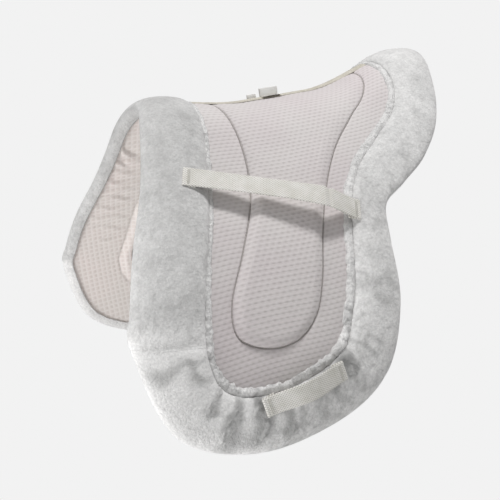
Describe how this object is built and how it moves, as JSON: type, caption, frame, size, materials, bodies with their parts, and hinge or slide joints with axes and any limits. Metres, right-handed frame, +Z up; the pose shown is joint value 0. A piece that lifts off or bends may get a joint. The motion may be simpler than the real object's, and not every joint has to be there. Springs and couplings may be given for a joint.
{
  "type": "saddle pad",
  "caption": "Fitted saddle pad draped over a ridge: quilted panels with a raised centre pad, fleece rolled edges and webbing strap loops.",
  "frame": {"origin": "underside of the ridge at its lowest stretch, on the pad's plane of symmetry", "axes": "+X along the spine toward the cantle, -X toward the horse's neck; -Y the near (left) side; +Z up"},
  "size_m": [0.663, 0.6362, 0.502],
  "materials": {
    "lining_cloth": "waffle-woven cotton, matte",
    "quilted_cloth": "waffle-woven cotton over thin foam, matte",
    "felt": "pressed felt, hidden",
    "fleece": "curled pile fleece",
    "wadding": "loose fibre filling, hidden",
    "webbing": "flat woven webbing with a slight sheen",
    "thread": "sewing thread",
    "tape": "woven binding tape",
    "label_cloth": "blank woven label, smooth"
  },
  "bodies": {
    "spine": {"spine_binding": "tape", "spine_inner_tape": "tape", "size_tab": "label_cloth"},
    "left_side": {"left_lining": "lining_cloth", "left_felt_core": "felt", "left_flap_panel": "quilted_cloth", "left_centre_lining": "lining_cloth", "left_centre_insert": "felt", "left_centre_cover": "quilted_cloth", "left_centre_seam": "thread", "left_fleece_welt": "fleece", "left_front_roll": "fleece", "left_front_roll_filling": "wadding", "left_lower_border": "fleece", "left_lower_border_filling": "wadding", "left_rear_roll": "fleece", "left_rear_roll_filling": "wadding", "left_billet_strap": "webbing", "left_billet_strap_front_tack": "thread", "left_billet_strap_rear_tack": "thread", "left_girth_loop": "webbing", "left_girth_loop_front_tack": "thread", "left_girth_loop_rear_tack": "thread", "left_label_leaf": "label_cloth"},
    "right_side": {"right_lining": "lining_cloth", "right_felt_core": "felt", "right_flap_panel": "quilted_cloth", "right_centre_lining": "lining_cloth", "right_centre_insert": "felt", "right_centre_cover": "quilted_cloth", "right_centre_seam": "thread", "right_fleece_welt": "fleece", "right_front_roll": "fleece", "right_front_roll_filling": "wadding", "right_lower_border": "fleece", "right_lower_border_filling": "wadding", "right_rear_roll": "fleece", "right_rear_roll_filling": "wadding", "right_billet_strap": "webbing", "right_billet_strap_front_tack": "thread", "right_billet_strap_rear_tack": "thread", "right_girth_loop": "webbing", "right_girth_loop_front_tack": "thread", "right_girth_loop_rear_tack": "thread"},
    "label": {"label_tab": "label_cloth"}
  },
  "joints": [
    {"name": "left_side_lift", "type": "hinge", "parent": "spine", "child": "left_side", "pos_m": [0, 0, 0.066], "axis": [-1, 0, 0], "range_deg": [0, 50], "deforming": ["spine_binding", "spine_inner_tape"]},
    {"name": "right_side_lift", "type": "hinge", "parent": "spine", "child": "right_side", "pos_m": [0, 0, 0.066], "axis": [1, 0, 0], "range_deg": [0, 50], "deforming": ["spine_binding", "spine_inner_tape"]},
    {"name": "label_tilt", "type": "hinge", "parent": "spine", "child": "label", "pos_m": [0.002, 0, 0.01395], "axis": [1, 0, 0], "range_deg": [-60, 60]}
  ]
}
